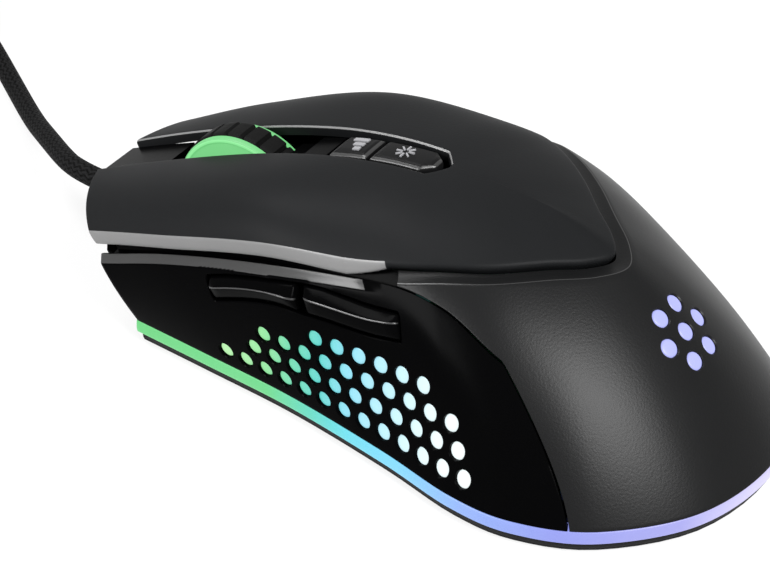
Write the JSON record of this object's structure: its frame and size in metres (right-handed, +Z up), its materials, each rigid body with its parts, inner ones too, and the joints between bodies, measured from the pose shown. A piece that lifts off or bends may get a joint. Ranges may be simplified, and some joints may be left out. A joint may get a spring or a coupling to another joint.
{
  "type": "computer mouse",
  "caption": "Wired light-up computer mouse: two flexing main buttons, ribbed scroll wheel, two thumb buttons, perforated glowing side, lit ring and braided cord with coil and plug.",
  "frame": {"origin": "on the desk, under the middle of the body, measured without the cord", "axes": "+Y towards the front where the cord leaves, +Z up, +X towards the right of a hand that holds it"},
  "size_m": [0.0936, 0.2556, 0.0389],
  "materials": {
    "base_black": "satin",
    "shell_black": "satin",
    "cover_black": "satin",
    "bezel_black": "matte",
    "side_gloss": "gloss",
    "key_gloss": "gloss",
    "ring_glow": "satin",
    "hole_glow": "matte",
    "emblem_glow": "satin",
    "wheel_glow": "satin",
    "foot_white": "satin",
    "screw_steel": "satin",
    "board_green": "satin",
    "mark_grey": "matte",
    "tyre_rubber": "matte",
    "hub_white": "satin",
    "axle_steel": "satin",
    "carrier_grey": "matte",
    "switch_black": "matte",
    "spring_steel": "satin",
    "lens_clear": "gloss",
    "plunger_white": "satin",
    "plunger_red": "satin",
    "gland_rubber": "matte",
    "lead_grey": "satin",
    "cord_braid": "matte",
    "tie_fabric": "matte",
    "plug_black": "satin",
    "plug_steel": "satin"
  },
  "bodies": {
    "shell": {"base_shell": "base_black", "light_ring": "ring_glow", "foot_front": "foot_white", "foot_rear": "foot_white", "base_screws": "screw_steel", "left_side_panel": "side_gloss", "right_side_panel": "side_gloss", "honeycomb_diffuser": "hole_glow", "palm_shell": "shell_black", "emblem_lens": "emblem_glow", "emblem_board": "board_green", "top_cover": "cover_black", "centre_bezel": "bezel_black", "carrier_spring": "spring_steel", "main_board": "board_green", "top_board": "board_green", "top_board_posts": "carrier_grey", "side_board": "board_green", "sensor_chip": "switch_black", "sensor_lens": "lens_clear", "ring_leds": "hub_white", "controller_chip": "switch_black", "left_switch": "switch_black", "right_switch": "switch_black", "wheel_switch": "switch_black", "dpi_switch": "switch_black", "mode_switch": "switch_black", "forward_switch": "switch_black", "back_switch": "switch_black", "nose_panel": "side_gloss", "cable_gland": "gland_rubber", "cord_connector": "hub_white", "inner_lead": "lead_grey", "cord": "cord_braid", "cord_coil": "cord_braid", "cord_tie": "tie_fabric", "plug_body": "plug_black", "plug_shell": "plug_steel"},
    "left_main": {"left_button": "cover_black"},
    "right_main": {"right_button": "cover_black"},
    "left_snap": {"left_plunger": "plunger_red"},
    "right_snap": {"right_plunger": "plunger_red"},
    "wheel_frame": {"wheel_carrier": "carrier_grey", "wheel_encoder": "switch_black"},
    "wheel": {"wheel_tyre": "tyre_rubber", "wheel_disc_left": "wheel_glow", "wheel_disc_right": "wheel_glow", "wheel_hub": "hub_white", "wheel_axle": "axle_steel"},
    "wheel_tact": {"wheel_plunger": "plunger_white"},
    "dpi_key": {"dpi_button": "key_gloss", "dpi_mark": "mark_grey"},
    "dpi_tact": {"dpi_plunger": "plunger_white"},
    "mode_key": {"mode_button": "key_gloss", "mode_mark": "mark_grey"},
    "mode_tact": {"mode_plunger": "plunger_white"},
    "forward_key": {"forward_button": "side_gloss"},
    "forward_tact": {"forward_plunger": "plunger_white"},
    "back_key": {"back_button": "side_gloss"},
    "back_tact": {"back_plunger": "plunger_white"}
  },
  "joints": [
    {"name": "left_button_press", "type": "hinge", "parent": "shell", "child": "left_main", "pos_m": [0, 0.005, 0.0345], "axis": [-1, 0, 0], "range_deg": [0, 0.8], "stiffness_Nm_per_rad": 0.6},
    {"name": "right_button_press", "type": "hinge", "parent": "shell", "child": "right_main", "pos_m": [0, 0.005, 0.0345], "axis": [-1, 0, 0], "range_deg": [0, 0.8], "stiffness_Nm_per_rad": 0.6},
    {"name": "left_plunger_press", "type": "slide", "parent": "shell", "child": "left_snap", "axis": [0, 0, -1], "range_m": [0, 0.0006]},
    {"name": "right_plunger_press", "type": "slide", "parent": "shell", "child": "right_snap", "axis": [0, 0, -1], "range_m": [0, 0.0006]},
    {"name": "wheel_press", "type": "slide", "parent": "shell", "child": "wheel_frame", "axis": [0, 0, -1], "range_m": [0, 0.0004], "stiffness_N_per_m": 900, "deforming": ["carrier_spring"]},
    {"name": "wheel_spin", "type": "hinge", "parent": "wheel_frame", "child": "wheel", "pos_m": [0, 0.0342, 0.0198], "axis": [1, 0, 0], "continuous": true},
    {"name": "wheel_plunger_press", "type": "slide", "parent": "shell", "child": "wheel_tact", "axis": [0, 0, -1], "range_m": [0, 0.0005]},
    {"name": "dpi_button_press", "type": "slide", "parent": "shell", "child": "dpi_key", "axis": [0, 0, -1], "range_m": [0, 0.0004], "stiffness_N_per_m": 600},
    {"name": "dpi_plunger_press", "type": "slide", "parent": "shell", "child": "dpi_tact", "axis": [0, 0, -1], "range_m": [0, 0.0005]},
    {"name": "mode_button_press", "type": "slide", "parent": "shell", "child": "mode_key", "axis": [0, 0, -1], "range_m": [0, 0.0004], "stiffness_N_per_m": 600},
    {"name": "mode_plunger_press", "type": "slide", "parent": "shell", "child": "mode_tact", "axis": [0, 0, -1], "range_m": [0, 0.0005]},
    {"name": "forward_button_press", "type": "slide", "parent": "shell", "child": "forward_key", "axis": [1, 0, 0], "range_m": [0, 0.0004], "stiffness_N_per_m": 600},
    {"name": "forward_plunger_press", "type": "slide", "parent": "shell", "child": "forward_tact", "axis": [1, 0, 0], "range_m": [0, 0.0005]},
    {"name": "back_button_press", "type": "slide", "parent": "shell", "child": "back_key", "axis": [1, 0, 0], "range_m": [0, 0.0004], "stiffness_N_per_m": 600},
    {"name": "back_plunger_press", "type": "slide", "parent": "shell", "child": "back_tact", "axis": [1, 0, 0], "range_m": [0, 0.0005]}
  ],
  "couplings": [
    {"joint": "left_plunger_press", "follows": "left_button_press", "m_per_rad": 0.03587},
    {"joint": "right_plunger_press", "follows": "right_button_press", "m_per_rad": 0.03587},
    {"joint": "wheel_plunger_press", "follows": "wheel_press", "ratio": 1},
    {"joint": "dpi_plunger_press", "follows": "dpi_button_press", "ratio": 1},
    {"joint": "mode_plunger_press", "follows": "mode_button_press", "ratio": 1},
    {"joint": "forward_plunger_press", "follows": "forward_button_press", "ratio": 1},
    {"joint": "back_plunger_press", "follows": "back_button_press", "ratio": 1}
  ]
}
